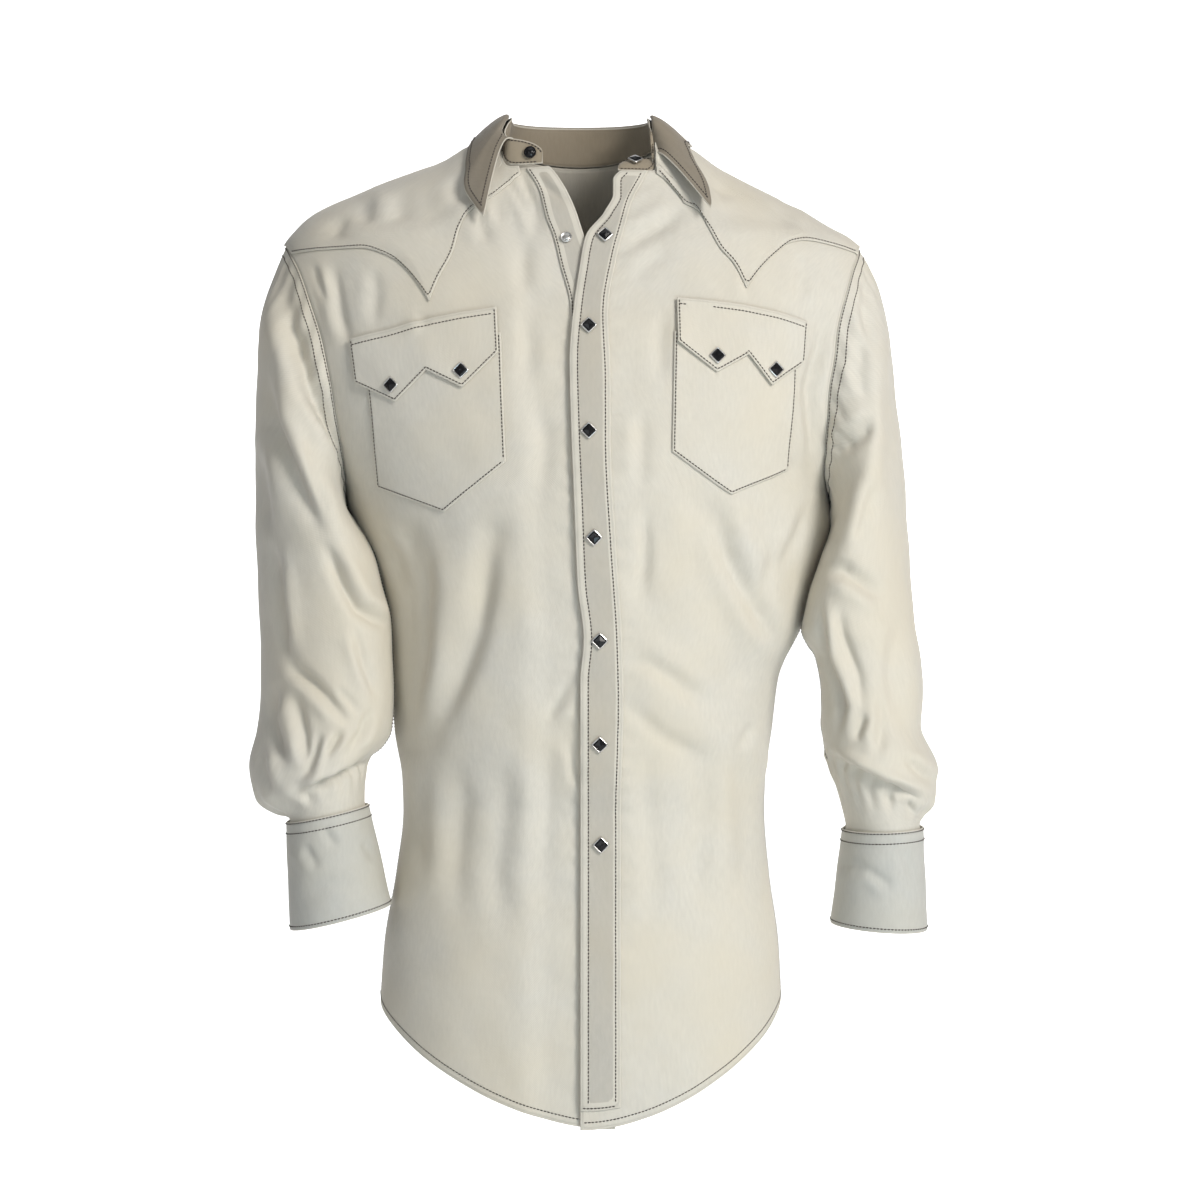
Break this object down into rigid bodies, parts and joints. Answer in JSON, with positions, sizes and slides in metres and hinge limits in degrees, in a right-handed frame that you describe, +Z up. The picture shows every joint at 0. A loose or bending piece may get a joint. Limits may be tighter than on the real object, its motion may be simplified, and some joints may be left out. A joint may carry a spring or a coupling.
{
  "type": "western snap shirt",
  "caption": "Long-sleeved western shirt, worn and hollow, with pointed yokes, flap pockets, a spread collar open at the top, and square black snaps in silver rims.",
  "frame": {"origin": "middle of the base of the neck, where the wearer's shoulders hold the shirt", "axes": "+Z up, the front looks along -Y, +X to the wearer's left"},
  "size_m": [0.5665, 0.2542, 0.829],
  "materials": {
    "gabardine": "light beige twill, soft sheen",
    "gabardine_band": "slightly greyer beige twill",
    "gabardine_collar": "taupe twill",
    "black_stone": "polished black, faceted, in a silver rim",
    "silver": "polished silver"
  },
  "bodies": {
    "root": {"front_right": "gabardine", "front_left": "gabardine", "back": "gabardine", "yoke_front_right": "gabardine", "yoke_front_left": "gabardine", "yoke_back": "gabardine", "collar_stand": "gabardine", "pocket_right": "gabardine", "pocket_left": "gabardine", "flap_right": "gabardine", "flap_left": "gabardine", "sleeve_right": "gabardine", "sleeve_left": "gabardine", "cuff_right": "gabardine", "cuff_left": "gabardine", "sleeve_placket_right": "gabardine", "sleeve_placket_left": "gabardine", "placket": "gabardine_band", "under_placket": "gabardine_band", "collar_fall": "gabardine_collar", "snap_front_1": "black_stone", "snap_front_2": "black_stone", "snap_front_3": "black_stone", "snap_front_4": "black_stone", "snap_front_5": "black_stone", "snap_front_6": "black_stone", "snap_front_7": "black_stone", "snap_flap_right_1": "black_stone", "snap_flap_right_2": "black_stone", "snap_flap_left_1": "black_stone", "snap_flap_left_2": "black_stone", "snap_collar": "black_stone", "snap_cuff_right_1": "black_stone", "snap_cuff_right_2": "black_stone", "snap_cuff_right_3": "black_stone", "snap_cuff_left_1": "black_stone", "snap_cuff_left_2": "black_stone", "snap_cuff_left_3": "black_stone", "stud_collar": "black_stone", "stud_front": "silver"}
  },
  "joints": []
}
